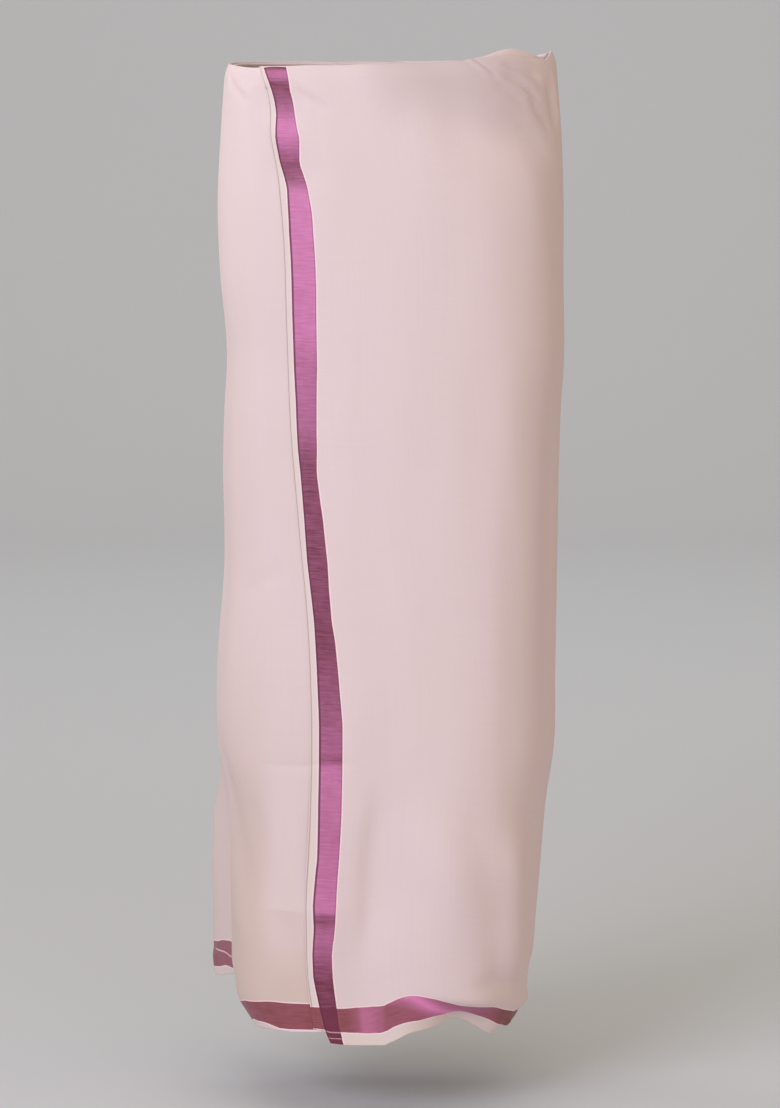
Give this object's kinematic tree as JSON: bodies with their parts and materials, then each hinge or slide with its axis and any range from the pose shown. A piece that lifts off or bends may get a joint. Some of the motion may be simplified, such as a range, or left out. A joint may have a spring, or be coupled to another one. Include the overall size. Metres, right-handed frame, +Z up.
{
  "type": "worn dhoti cloth",
  "caption": "Ankle-length wrapped dhoti cloth in its worn shape: a hollow cotton tube with a front flap, woven border bands and a rolled waist, open at waist and hem.",
  "frame": {"origin": "centre of the waist, where the wearer holds the cloth, about 15 mm below the rolled top edge", "axes": "+Z up along the body, -Y the garment's front, +X the wearer's left"},
  "size_m": [0.3756, 0.2983, 1.0272],
  "materials": {
    "outer_cotton": "smooth ironed plain-weave cotton, pale blush pink, with satin magenta-purple woven bands 25 mm wide",
    "inner_cotton": "the same pale blush cotton and woven band, on the hidden first turn and the strip turned in at the waist"
  },
  "bodies": {
    "root": {"front_flap": "outer_cotton", "back_wrap": "outer_cotton", "under_wrap": "outer_cotton", "inner_left": "inner_cotton", "inner_back": "inner_cotton", "inner_right": "inner_cotton", "turn_in_left": "inner_cotton", "turn_in_back": "inner_cotton", "turn_in_right": "inner_cotton"}
  },
  "joints": []
}
